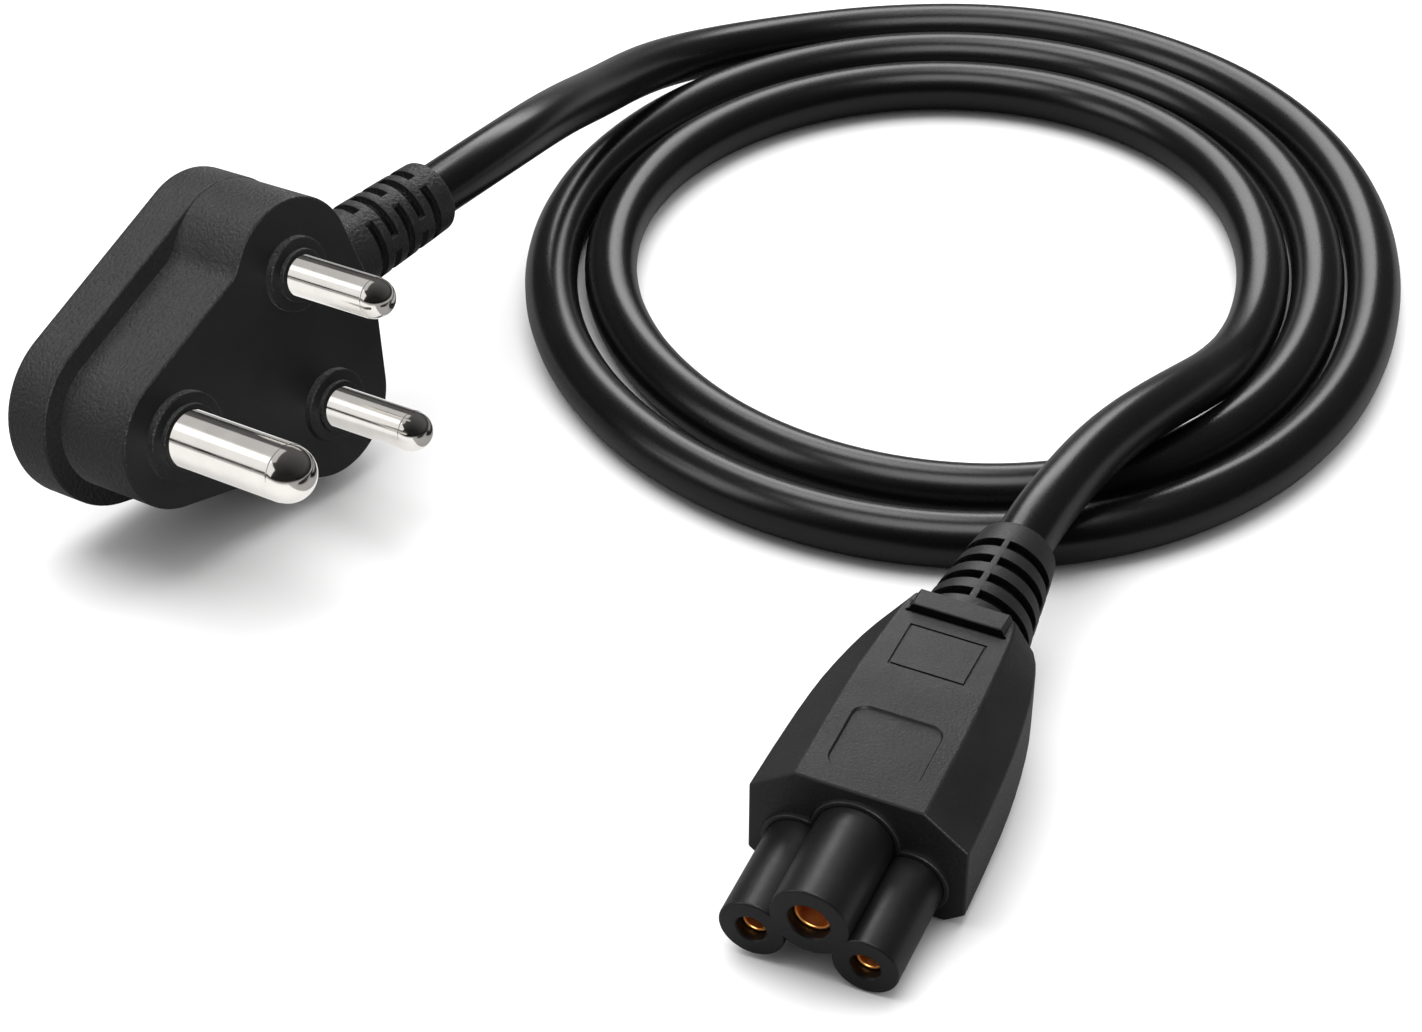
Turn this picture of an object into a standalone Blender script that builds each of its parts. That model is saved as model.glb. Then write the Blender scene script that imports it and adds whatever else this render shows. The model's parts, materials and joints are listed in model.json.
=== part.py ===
"""Black power cord lying on a floor: a three-pin round-pin plug with its cord leaving at a right
angle, about a metre of round cord in two and a half loose turns, and a cloverleaf connector.

Run it with: blender --background --python part.py
Lengths below are written as millimetres times MM, and the model itself is in metres, +Z up.
The origin is on the floor, under the middle of the box around the plug and the connector.
"""
import math

import bmesh
import bpy
from mathutils import Euler, Matrix, Vector

MM = 0.001
SMOOTH_ANGLE = math.radians(32)
ARC_STEP = math.radians(12)
MERGE = 0.001 * MM
# Clearance between pieces that touch, and how far helper solids reach into the solid that they join or cut
FIT = 0.3 * MM
SINK = 1.0 * MM
CUTTER_REACH = 3.0 * MM

# Round pins, as a 6 A plug of this pattern has them
PIN_SPACING = 19.05 * MM
EARTH_TO_LINE = 22.23 * MM
POWER_PIN_RADIUS = 2.54 * MM
POWER_PIN_LENGTH = 16.3 * MM
EARTH_PIN_RADIUS = 3.53 * MM
EARTH_PIN_LENGTH = 21.4 * MM
PIN_ROOT = 5.7 * MM
PIN_SIDES = 24
DOME_STEPS = 7

# Plug body, in a frame with the earth pin at its origin, +Y toward the cord and +Z along the pins
FLANGE_BACK = -18.7 * MM
FLANGE_FRONT = -11.3 * MM
FLANGE_EARTH_RADIUS = 11.5 * MM
FLANGE_SIDE_RADIUS = 9.5 * MM
CORD_SIDE_RADIUS = 11.15 * MM
BLOCK_INSET = 0.15 * MM
BLOCK_EARTH_RADIUS = 9.0 * MM
BLOCK_TAPER = math.radians(17.9)
WAIST_FILLET = 2.5 * MM
BACK_ROUNDING = 1.2 * MM
EDGE_ROUNDING = 0.35 * MM
BOSS_HEIGHT = 1.0 * MM
BOSS_MARGIN = 2.1 * MM
BOSS_EDGE = 0.3 * MM
COLLAR_HEIGHT = 1.6 * MM
COLLAR_MARGIN = 0.75 * MM
COLLAR_EDGE = 0.15 * MM

# Moulded strain reliefs
RELIEF_SIDES = 24
GROOVE_DEPTH = 1.0 * MM
# Shoulder of a relief's end: distance from the end, and how much thinner it is there
SHOULDER = ((1.4 * MM, 0.0), (0.5 * MM, 0.35 * MM), (0.0, 1.1 * MM))
PLUG_RELIEF_ROOT = Vector((-2.6 * MM, EARTH_TO_LINE + 6.0 * MM, -7.9 * MM))
PLUG_RELIEF_LENGTH = 23.8 * MM
PLUG_RELIEF_ROOT_RADIUS = 5.6 * MM
PLUG_RELIEF_END_RADIUS = 4.8 * MM
PLUG_RELIEF_SWING = math.radians(2.4)
PLUG_GROOVES = {"rows": 5, "first_row": 3.0 * MM, "pitch": 2.5 * MM, "groove": 1.25 * MM, "slots": 3,
                "stagger": 4}

# Connector, in a frame with its front face at y = 0, +Y toward the cord and +Z out of its label side
BODY_TOP = 7.9 * MM
# Stations: distance from the front face, half width, half width of the top's flat, top, bottom
BODY_STATIONS = (
    (0.0, 12.5, 7.35, 7.9, -7.45),
    (13.0, 12.0, 7.3, 7.9, -7.45),
    (18.0, 11.5, 7.15, 7.9, -7.45),
    (24.0, 10.6, 6.8, 7.55, -7.3),
    (28.8, 9.5, 6.5, 7.25, -7.1),
    (31.6, 8.3, 5.8, 7.05, -6.95),
)
CHAMFER_DROP = 4.0 * MM
FOOT_DROP = 1.7 * MM
FOOT_INSET = 2.2 * MM
BODY_ROUNDING = 0.45 * MM
NOSE_LENGTH = 13.4 * MM
NOSE_ROOT = 3.6 * MM
EARTH_LOBE = Vector((0.0, 1.6 * MM))
LOBE_SPREAD = 6.4 * MM
LOBE_DROP = -2.4 * MM
EARTH_LOBE_RADIUS = 4.5 * MM
SIDE_LOBE_RADIUS = 3.75 * MM
COLLAR_WALL = 0.3 * MM
COLLAR_RISE = 0.6 * MM
EARTH_HOLE_RADIUS = 2.35 * MM
SIDE_HOLE_RADIUS = 1.7 * MM
HOLE_DEPTH = 11.0 * MM
CONTACT_LENGTH = 8.5 * MM
CONTACT_SETBACK = 1.3 * MM
CONTACT_WALL = 0.4 * MM
CONNECTOR_RELIEF_START = 31.0 * MM
CONNECTOR_RELIEF_LENGTH = 18.4 * MM
CONNECTOR_RELIEF_ROOT_RADIUS = 7.1 * MM
CONNECTOR_RELIEF_END_RADIUS = 4.9 * MM
CONNECTOR_GROOVES = {"rows": 4, "first_row": 4.0 * MM, "pitch": 3.35 * MM, "groove": 1.5 * MM, "slots": 4,
                     "stagger": 0}
# Thumb ledge on the label side, a bar across it: where it starts, length, and the half width and
# height of its foot and of its top
LEDGE_FRONT = 28.8 * MM
LEDGE_LENGTH = 2.8 * MM
LEDGE_FOOT = Vector((6.1, 6.2)) * MM
LEDGE_TOP = Vector((5.2, 8.05)) * MM
# Recessed square on the label side: width, length, height, corner radius
PANEL = (10.2 * MM, 9.5 * MM, 2.0 * MM, 1.6 * MM)
PANEL_PLACE = 7.6 * MM
PANEL_DEPTH = 0.3 * MM
HOLE_SIDES = 20

# Where the two ends lie on the floor
PLUG_PLACE = Vector((-40.1, 14.15, 19.04)) * MM
PLUG_YAW, PLUG_SLOPE, PLUG_LEAN = math.radians(47.3), math.radians(16.9), math.radians(9.0)
CONNECTOR_PLACE = Vector((37.3, -45.75, 7.92)) * MM
CONNECTOR_YAW, CONNECTOR_TILT, CONNECTOR_ROLL = math.radians(-23.8), math.radians(6.0), math.radians(2.8)

# Cord
CORD_RADIUS = 3.5 * MM
CORD_STEP = 16.0 * MM
STRAIGHT_END = 5.0 * MM
CORD_BEVEL = 3
CURVE_STEPS = 12
LOOP_CENTRE = Vector((54.2, 76.85)) * MM
LOOP_RADIUS = 63.1 * MM
TURN_STEP = 8.5 * MM
LOOP_START, LOOP_END = -5, 805
LOOP_POINT_ANGLE = 15
# How far the loop is from a circle, and each turn from the one before it: cosine and sine parts
LOOP_OVAL = (4.1 * MM, 1.5 * MM)
LOOP_EGG = (-0.3 * MM, 0.6 * MM)
TURN_SHIFT = (-0.6 * MM, -0.2 * MM)
TURN_OVAL = (0.9 * MM, 0.7 * MM)
# Points chosen by hand: from the plug down to the loop, and from the loop up to the connector
PLUG_SIDE_ROUTE = (
    (-3.7, 74.35, 24.3), (1.3, 87.95, 20.6), (6.3, 102.95, 15.2), (12.5, 118.35, 10.4), (21.3, 131.35, 6.0),
    (34.1, 139.55, 3.8),
)
CONNECTOR_SIDE_ROUTE = (
    (95.5, 72.35, 3.5), (92.5, 60.35, 3.7), (87.3, 48.95, 5.5), (80.5, 37.75, 9.3), (74.1, 28.95, 11.6),
    (68.5, 21.15, 12.5), (63.7, 12.35, 13.3),
)


def make_material(name, colour, roughness, metallic):
    """Return a Principled material."""
    material = bpy.data.materials.new(name)
    material.use_nodes = True
    shader = material.node_tree.nodes["Principled BSDF"]
    shader.inputs["Base Color"].default_value = (*colour, 1.0)
    shader.inputs["Roughness"].default_value = roughness
    shader.inputs["Metallic"].default_value = metallic
    return material


def make_object(name, bm, material=None, frame=None):
    """Turn a bmesh into an object under the given empty."""
    bmesh.ops.recalc_face_normals(bm, faces=bm.faces)
    mesh = bpy.data.meshes.new(name)
    bm.to_mesh(mesh)
    bm.free()
    mesh.shade_smooth()
    mesh.set_sharp_from_angle(angle=SMOOTH_ANGLE)
    if material:
        mesh.materials.append(material)
    obj = bpy.data.objects.new(name, mesh)
    bpy.context.scene.collection.objects.link(obj)
    obj.parent = frame
    return obj


def make_guide(name, bm, frame):
    """Make a helper solid that only a Boolean modifier uses."""
    obj = make_object(name, bm, frame=frame)
    obj.hide_render = True
    obj.display_type = "WIRE"
    return obj


def add_boolean(obj, guide, operation):
    """Join a guide to an object, or cut it away."""
    modifier = obj.modifiers.new(operation.lower() + "_" + guide.name, "BOOLEAN")
    modifier.operation = operation
    modifier.object = guide


def make_frame(name, place, turn):
    """Make an empty that carries the pieces of one end."""
    frame = bpy.data.objects.new(name, None)
    bpy.context.scene.collection.objects.link(frame)
    frame.matrix_world = Matrix.Translation(place) @ turn
    return frame


def arc(centre, radius, start, end):
    """Points on an arc from one angle to another, ends included."""
    steps = max(1, math.ceil(abs(end - start) / ARC_STEP))
    angles = (start + (end - start) * i / steps for i in range(steps + 1))
    return [centre + radius * Vector((math.cos(a), math.sin(a))) for a in angles]


def prism(outline, low, high):
    """Extrude a closed outline from one height to another."""
    bm = bmesh.new()
    face = bm.faces.new([bm.verts.new((p.x, p.y, low)) for p in outline])
    top = bmesh.ops.extrude_face_region(bm, geom=[face])["geom"]
    corners = [v for v in top if isinstance(v, bmesh.types.BMVert)]
    bmesh.ops.translate(bm, vec=(0, 0, high - low), verts=corners)
    return bm


def round_rim(bm, height, width, segments=2):
    """Round the edges that lie at one height of a prism."""
    rim = [e for e in bm.edges if all(abs(v.co.z - height) < MERGE for v in e.verts)]
    bmesh.ops.bevel(bm, geom=rim, offset=width, segments=segments, affect="EDGES", profile=0.5, material=-1)


def turned(profile, sides):
    """Spin a profile of (radius, height) points around the Z axis into a closed solid."""
    bm = bmesh.new()
    points = [bm.verts.new((radius, 0, height)) for radius, height in profile]
    edges = [bm.edges.new(pair) for pair in zip(points, points[1:])]
    bmesh.ops.spin(bm, geom=points + edges, cent=(0, 0, 0), axis=(0, 0, 1), angle=math.tau, steps=sides,
                   use_merge=True)
    bmesh.ops.remove_doubles(bm, verts=bm.verts, dist=MERGE)
    return bm


def ring_profile(inner, outer, low, high):
    """Closed profile of a plain sleeve."""
    return [(inner, low), (outer, low), (outer, high), (inner, high), (inner, low)]


def shift(bm, x, y, z=0.0):
    """Move every vertex of a bmesh."""
    bmesh.ops.translate(bm, vec=(x, y, z), verts=bm.verts)
    return bm


def relief(length, root_radius, end_radius, rows, first_row, pitch, groove, slots, stagger):
    """Tapered strain relief along +Y, with rows of short grooves cut into its wall.

    rows, first_row and pitch place the grooves from the far end, slots is how many go round, and
    stagger turns every second row by so many sides."""
    grooved = [(length - first_row - row * pitch - groove, row) for row in reversed(range(rows))]
    stations = [0.0]
    for start, _ in grooved:
        stations += [start, start + groove]
    rounding = {length - back: thinner for back, thinner in SHOULDER}
    stations += rounding
    bm = bmesh.new()
    rings = []
    for y in stations:
        radius = root_radius + (end_radius - root_radius) * y / length - rounding.get(y, 0.0)
        turn = (math.tau * i / RELIEF_SIDES for i in range(RELIEF_SIDES))
        rings.append([bm.verts.new((radius * math.sin(a), y, radius * math.cos(a))) for a in turn])
    bm.faces.new(rings[0])
    bm.faces.new(reversed(rings[-1]))
    walls = {}
    for k, (near, far) in enumerate(zip(rings, rings[1:])):
        for i in range(RELIEF_SIDES):
            j = (i + 1) % RELIEF_SIDES
            walls[k, i] = bm.faces.new((near[i], far[i], far[j], near[j]))
    run = RELIEF_SIDES // slots
    for start, row in grooved:
        k = stations.index(start)
        offset = stagger * (row % 2)
        for slot in range(slots):
            cells = [walls[k, (offset + slot * run + i) % RELIEF_SIDES] for i in range(run - 1)]
            floor = bmesh.ops.extrude_face_region(bm, geom=cells)["geom"]
            bmesh.ops.delete(bm, geom=cells, context="FACES")
            for vertex in (v for v in floor if isinstance(v, bmesh.types.BMVert)):
                out = Vector((vertex.co.x, 0, vertex.co.z))
                vertex.co -= out.normalized() * GROOVE_DEPTH
    return bm


def flange_outline():
    """Rounded triangle round the three pins, a little fuller on the cord's side."""
    half = PIN_SPACING / 2
    side = math.atan2(EARTH_TO_LINE, half)
    reach = math.hypot(EARTH_TO_LINE, half)
    lean = side - math.acos((FLANGE_EARTH_RADIUS - FLANGE_SIDE_RADIUS) / reach)
    crown = math.acos((CORD_SIDE_RADIUS - FLANGE_SIDE_RADIUS) / half)
    line, neutral = Vector((-half, EARTH_TO_LINE)), Vector((half, EARTH_TO_LINE))
    outline = arc(Vector((0, 0)), FLANGE_EARTH_RADIUS, math.pi - lean, math.tau + lean)
    outline += arc(neutral, FLANGE_SIDE_RADIUS, lean, crown)
    outline += arc(Vector((0, EARTH_TO_LINE)), CORD_SIDE_RADIUS, crown, math.pi - crown)[1:-1]
    outline += arc(line, FLANGE_SIDE_RADIUS, math.pi - crown, math.pi - lean)
    return outline


def block_outline():
    """Front block: level with the flange round the line and neutral pins, waisted toward the earth pin."""
    half = PIN_SPACING / 2
    radius = FLANGE_SIDE_RADIUS - BLOCK_INSET
    crown = math.acos((CORD_SIDE_RADIUS - FLANGE_SIDE_RADIUS) / half)
    neutral = Vector((half, EARTH_TO_LINE))
    normal = Vector((math.cos(BLOCK_TAPER), -math.sin(BLOCK_TAPER)))
    to_edge = BLOCK_EARTH_RADIUS - normal.dot(neutral)
    swing = math.acos((to_edge + WAIST_FILLET) / (radius + WAIST_FILLET))
    meet = -BLOCK_TAPER - swing
    fillet = neutral + (radius + WAIST_FILLET) * Vector((math.cos(meet), math.sin(meet)))
    right = arc(Vector((0, 0)), BLOCK_EARTH_RADIUS, -math.pi / 2, -BLOCK_TAPER)
    right += arc(fillet, WAIST_FILLET, math.pi - BLOCK_TAPER, math.pi + meet)
    right += arc(neutral, radius, meet, crown)[1:]
    right += arc(Vector((0, EARTH_TO_LINE)), CORD_SIDE_RADIUS - BLOCK_INSET, crown, math.pi / 2)[1:]
    left = [Vector((-p.x, p.y)) for p in reversed(right[1:-1])]
    return right + left


def pin_places():
    """Name, place, radius and length of each pin."""
    half = PIN_SPACING / 2
    return (
        ("earth_pin", Vector((0, 0)), EARTH_PIN_RADIUS, EARTH_PIN_LENGTH),
        ("line_pin", Vector((-half, EARTH_TO_LINE)), POWER_PIN_RADIUS, POWER_PIN_LENGTH),
        ("neutral_pin", Vector((half, EARTH_TO_LINE)), POWER_PIN_RADIUS, POWER_PIN_LENGTH),
    )


def build_plug(frame, rubber, nickel):
    """Plug body with its bosses and relief as one moulding, and the three pins."""
    bm = prism(flange_outline(), FLANGE_BACK, FLANGE_FRONT)
    round_rim(bm, FLANGE_BACK, BACK_ROUNDING, 3)
    round_rim(bm, FLANGE_FRONT, EDGE_ROUNDING)
    body = make_object("plug_body", bm, rubber, frame)
    block = prism(block_outline(), FLANGE_FRONT - SINK, 0.0)
    round_rim(block, 0.0, EDGE_ROUNDING)
    add_boolean(body, make_guide("front_block", block, frame), "UNION")
    sleeve = relief(PLUG_RELIEF_LENGTH, PLUG_RELIEF_ROOT_RADIUS, PLUG_RELIEF_END_RADIUS, **PLUG_GROOVES)
    turn = Matrix.Rotation(-PLUG_RELIEF_SWING, 4, "Z")
    bmesh.ops.transform(sleeve, matrix=Matrix.Translation(PLUG_RELIEF_ROOT) @ turn, verts=sleeve.verts)
    add_boolean(body, make_guide("plug_relief", sleeve, frame), "UNION")
    for name, place, radius, length in pin_places():
        boss_radius, collar_radius = radius + BOSS_MARGIN, radius + COLLAR_MARGIN
        profile = [(0, -SINK), (boss_radius, -SINK), (boss_radius, BOSS_HEIGHT - BOSS_EDGE),
                   (boss_radius - BOSS_EDGE, BOSS_HEIGHT), (collar_radius, BOSS_HEIGHT),
                   (collar_radius, COLLAR_HEIGHT - COLLAR_EDGE), (collar_radius - COLLAR_EDGE, COLLAR_HEIGHT),
                   (0, COLLAR_HEIGHT)]
        boss = shift(turned(profile, PIN_SIDES), place.x, place.y)
        add_boolean(body, make_guide(name + "_boss", boss, frame), "UNION")
        wide, low = radius + FIT, -PIN_ROOT - FIT
        bore = [(0, low), (wide, low), (wide, CUTTER_REACH), (0, CUTTER_REACH)]
        cutter = shift(turned(bore, PIN_SIDES), place.x, place.y)
        add_boolean(body, make_guide(name + "_bore", cutter, frame), "DIFFERENCE")
        dome = [(radius * math.cos(a), length - radius + radius * math.sin(a))
                for a in (math.pi / 2 * i / DOME_STEPS for i in range(DOME_STEPS + 1))]
        pin = turned([(0, -PIN_ROOT), (radius, -PIN_ROOT)] + dome[:-1] + [(0, length)], PIN_SIDES)
        make_object(name, shift(pin, place.x, place.y), nickel, frame)


def lobe_outline(grow):
    """Outline of the three joined lobes of the nose, grown outwards by a margin."""
    main, side = EARTH_LOBE_RADIUS + grow, SIDE_LOBE_RADIUS + grow
    right = Vector((LOBE_SPREAD, LOBE_DROP))
    left = Vector((-LOBE_SPREAD, LOBE_DROP))
    across = right - EARTH_LOBE
    distance = across.length
    tilt = math.atan2(across.y, across.x)
    open_main = math.acos((distance ** 2 + main ** 2 - side ** 2) / (2 * distance * main))
    open_side = math.acos((distance ** 2 + side ** 2 - main ** 2) / (2 * distance * side))
    crown = arc(EARTH_LOBE, main, tilt + open_main, math.pi - tilt - open_main)
    foot = arc(EARTH_LOBE, main, math.pi - tilt + open_main, math.tau + tilt - open_main)
    left_lobe = arc(left, side, -tilt + open_side, math.tau - tilt - open_side)
    right_lobe = arc(right, side, tilt - math.pi + open_side, tilt + math.pi - open_side)
    return crown + left_lobe[1:-1] + foot + right_lobe[1:-1]


def stand_up(bm):
    """Turn a prism made along +Z so that it runs along -Y, its outline upright."""
    bmesh.ops.rotate(bm, matrix=Matrix.Rotation(math.pi / 2, 3, "X"), cent=(0, 0, 0), verts=bm.verts)
    return bm


def body_section(bm, station):
    """One eight-sided section of the connector's body."""
    y, half_width, half_flat, top, bottom = (value * MM for value in station)
    corners = ((half_flat, top), (half_width, top - CHAMFER_DROP),
               (half_width, bottom + FOOT_DROP), (half_width - FOOT_INSET, bottom))
    ring = corners + tuple((-x, z) for x, z in reversed(corners))
    return [bm.verts.new((x, y, z)) for x, z in ring]


def connector_shell():
    """Eight-sided body that narrows toward the cord."""
    bm = bmesh.new()
    rings = [body_section(bm, station) for station in BODY_STATIONS]
    bm.faces.new(rings[0])
    bm.faces.new(reversed(rings[-1]))
    for near, far in zip(rings, rings[1:]):
        for i in range(len(near)):
            j = (i + 1) % len(near)
            bm.faces.new((near[i], far[i], far[j], near[j]))
    bmesh.ops.recalc_face_normals(bm, faces=bm.faces)
    long_edges = [e for e in bm.edges if abs(e.verts[0].co.y - e.verts[1].co.y) > MERGE]
    front_edges = [e for e in bm.edges if all(abs(v.co.y) < MERGE for v in e.verts)]
    bmesh.ops.bevel(bm, geom=long_edges + front_edges, offset=BODY_ROUNDING, segments=2, affect="EDGES",
                    profile=0.5, material=-1)
    return bm


def rounded_box(width, length, height, corner):
    """Box centred on its base, with its upright corners rounded."""
    half_x, half_y = width / 2 - corner, length / 2 - corner
    outline = []
    for i, (x, y) in enumerate(((half_x, half_y), (-half_x, half_y), (-half_x, -half_y), (half_x, -half_y))):
        outline += arc(Vector((x, y)), corner, i * math.pi / 2, (i + 1) * math.pi / 2)
    return prism(outline, 0.0, height)


def build_connector(frame, rubber, nose_plastic, copper):
    """Connector body with its relief as one moulding, the contact carrier and the three contacts."""
    body = make_object("connector_body", connector_shell(), rubber, frame)
    sleeve = relief(CONNECTOR_RELIEF_LENGTH, CONNECTOR_RELIEF_ROOT_RADIUS, CONNECTOR_RELIEF_END_RADIUS,
                    **CONNECTOR_GROOVES)
    shift(sleeve, 0, CONNECTOR_RELIEF_START)
    add_boolean(body, make_guide("connector_relief", sleeve, frame), "UNION")
    right = [LEDGE_FOOT, LEDGE_TOP]
    section = right + [Vector((-p.x, p.y)) for p in reversed(right)]
    ledge = stand_up(prism(section, -LEDGE_FRONT - LEDGE_LENGTH, -LEDGE_FRONT))
    add_boolean(body, make_guide("thumb_ledge", ledge, frame), "UNION")
    panel = shift(rounded_box(*PANEL), 0, PANEL_PLACE, BODY_TOP - PANEL_DEPTH)
    add_boolean(body, make_guide("panel_recess", panel, frame), "DIFFERENCE")
    collar = stand_up(prism(lobe_outline(FIT + COLLAR_WALL), -SINK, COLLAR_RISE))
    add_boolean(body, make_guide("nose_collar", collar, frame), "UNION")
    pocket = stand_up(prism(lobe_outline(FIT), -NOSE_ROOT - FIT, CUTTER_REACH))
    add_boolean(body, make_guide("nose_pocket", pocket, frame), "DIFFERENCE")

    nose_bm = prism(lobe_outline(0.0), -NOSE_ROOT, NOSE_LENGTH)
    nose = make_object("connector_nose", stand_up(nose_bm), nose_plastic, frame)
    holes = (
        ("earth_contact", EARTH_LOBE, EARTH_HOLE_RADIUS),
        ("line_contact", Vector((-LOBE_SPREAD, LOBE_DROP)), SIDE_HOLE_RADIUS),
        ("neutral_contact", Vector((LOBE_SPREAD, LOBE_DROP)), SIDE_HOLE_RADIUS),
    )
    for name, place, radius in holes:
        low, high = NOSE_LENGTH - HOLE_DEPTH, NOSE_LENGTH + CUTTER_REACH
        hole = [(0, low), (radius, low), (radius, high), (0, high)]
        cutter = stand_up(shift(turned(hole, HOLE_SIDES), place.x, place.y))
        add_boolean(nose, make_guide(name + "_hole", cutter, frame), "DIFFERENCE")
        outer = radius - FIT
        mouth = NOSE_LENGTH - CONTACT_SETBACK
        tube = turned(ring_profile(outer - CONTACT_WALL, outer, mouth - CONTACT_LENGTH, mouth), HOLE_SIDES)
        make_object(name, stand_up(shift(tube, place.x, place.y)), copper, frame)


def wave(parts, angle):
    """Sum of a cosine part and a sine part at an angle."""
    return parts[0] * math.cos(angle) + parts[1] * math.sin(angle)


def loop_point(degrees):
    """A point of the flat loop, clockwise from the far side; every turn lies just inside the last."""
    a = math.radians(degrees)
    step = TURN_STEP + wave(TURN_SHIFT, a) + wave(TURN_OVAL, 2 * a)
    radius = LOOP_RADIUS + wave(LOOP_OVAL, 2 * a) + wave(LOOP_EGG, 3 * a) - step * degrees / 360
    return Vector((LOOP_CENTRE.x + radius * math.sin(a), LOOP_CENTRE.y + radius * math.cos(a), CORD_RADIUS))


def catmull_rom(points):
    """A smooth curve through the given points."""
    ends = [2 * points[0] - points[1]] + points + [2 * points[-1] - points[-2]]
    curve = []
    for p0, p1, p2, p3 in zip(ends, ends[1:], ends[2:], ends[3:]):
        for i in range(CURVE_STEPS):
            t = i / CURVE_STEPS
            curve.append(0.5 * ((2 * p1) + (p2 - p0) * t + (2 * p0 - 5 * p1 + 4 * p2 - p3) * t * t
                                + (3 * p1 - 3 * p2 + p3 - p0) * t ** 3))
    return curve + [points[-1]]


def resample(curve, step):
    """Points at equal distances along a curve, ends kept."""
    lengths = [0.0]
    for a, b in zip(curve, curve[1:]):
        lengths.append(lengths[-1] + (b - a).length)
    count = round(lengths[-1] / step)
    points, k = [], 0
    for i in range(count):
        target = lengths[-1] * i / count
        while lengths[k + 1] < target:
            k += 1
        part = (target - lengths[k]) / (lengths[k + 1] - lengths[k])
        points.append(curve[k].lerp(curve[k + 1], part))
    return points + [curve[-1]]


def cord_route(plug, connector):
    """Centre line of the whole cord, from the plug's relief to the connector's."""
    swing = Vector((math.sin(PLUG_RELIEF_SWING), math.cos(PLUG_RELIEF_SWING), 0))
    leave = [plug @ (PLUG_RELIEF_ROOT + swing * (PLUG_RELIEF_LENGTH + gap)) for gap in (FIT, STRAIGHT_END)]
    arrive_at = CONNECTOR_RELIEF_START + CONNECTOR_RELIEF_LENGTH
    arrive = [connector @ Vector((0, arrive_at + gap, 0)) for gap in (STRAIGHT_END, FIT)]
    down = [Vector(p) * MM for p in PLUG_SIDE_ROUTE]
    turns = [loop_point(a) for a in range(LOOP_START, LOOP_END + 1, LOOP_POINT_ANGLE)]
    up = [Vector(p) * MM for p in CONNECTOR_SIDE_ROUTE]
    return leave, down + turns + up, arrive


def build_cord(route, rubber):
    """The cord as one plain tube; its first and last stretch are in line with the reliefs."""
    leave, middle, arrive = route
    smooth = catmull_rom(leave + middle + arrive)[CURVE_STEPS:-CURVE_STEPS]
    points = leave[:1] + resample(smooth, CORD_STEP) + arrive[-1:]
    curve = bpy.data.curves.new("cord", "CURVE")
    curve.dimensions = "3D"
    curve.bevel_depth = CORD_RADIUS
    curve.bevel_resolution = CORD_BEVEL
    curve.use_fill_caps = True
    curve.materials.append(rubber)
    spline = curve.splines.new("POLY")
    spline.points.add(len(points) - 1)
    for target, point in zip(spline.points, points):
        target.co = (point.x, point.y, max(point.z, CORD_RADIUS), 1.0)
    bpy.context.scene.collection.objects.link(bpy.data.objects.new("cord", curve))


def main():
    for obj in list(bpy.data.objects):
        bpy.data.objects.remove(obj)
    rubber = make_material("black_pvc", (0.028, 0.028, 0.03), 0.55, 0.0)
    cord_pvc = make_material("cord_pvc", (0.02, 0.02, 0.021), 0.38, 0.0)
    nose_plastic = make_material("nose_plastic", (0.018, 0.018, 0.019), 0.35, 0.0)
    nickel = make_material("nickel", (0.78, 0.75, 0.7), 0.12, 1.0)
    copper = make_material("copper", (0.85, 0.42, 0.16), 0.25, 1.0)

    side = math.atan2(EARTH_TO_LINE, PIN_SPACING / 2)
    stand = Euler((math.pi / 2 - PLUG_LEAN, PLUG_SLOPE, PLUG_YAW)).to_matrix().to_4x4()
    plug = make_frame("plug_frame", PLUG_PLACE, stand @ Matrix.Rotation(-side, 4, "Z"))
    lie = (Matrix.Rotation(CONNECTOR_YAW, 4, "Z") @ Matrix.Rotation(CONNECTOR_TILT, 4, "X")
           @ Matrix.Rotation(CONNECTOR_ROLL, 4, "Y"))
    connector = make_frame("connector_frame", CONNECTOR_PLACE, lie)

    build_plug(plug, rubber, nickel)
    build_connector(connector, rubber, nose_plastic, copper)
    build_cord(cord_route(plug.matrix_world, connector.matrix_world), cord_pvc)


main()
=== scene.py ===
"""Looks of a black mains lead: grained plug, satin cord in loose turns, cloverleaf connector.

Everything is in metres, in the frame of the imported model, +Z up. Lengths are written as
millimetres times MM. Each end of the lead is modelled in its own local frame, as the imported
solids were, and put in place by its mesh.
"""
from __future__ import annotations

import json
import logging
import math
from collections.abc import Iterable, Sequence
from dataclasses import dataclass, field
from enum import Enum

import bmesh
import bpy
from bmesh.types import BMEdge, BMesh, BMFace, BMVert
from bpy.types import Material, Node, NodeSocket, NodeTree, Object
from mathutils import Euler, Matrix, Vector

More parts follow.
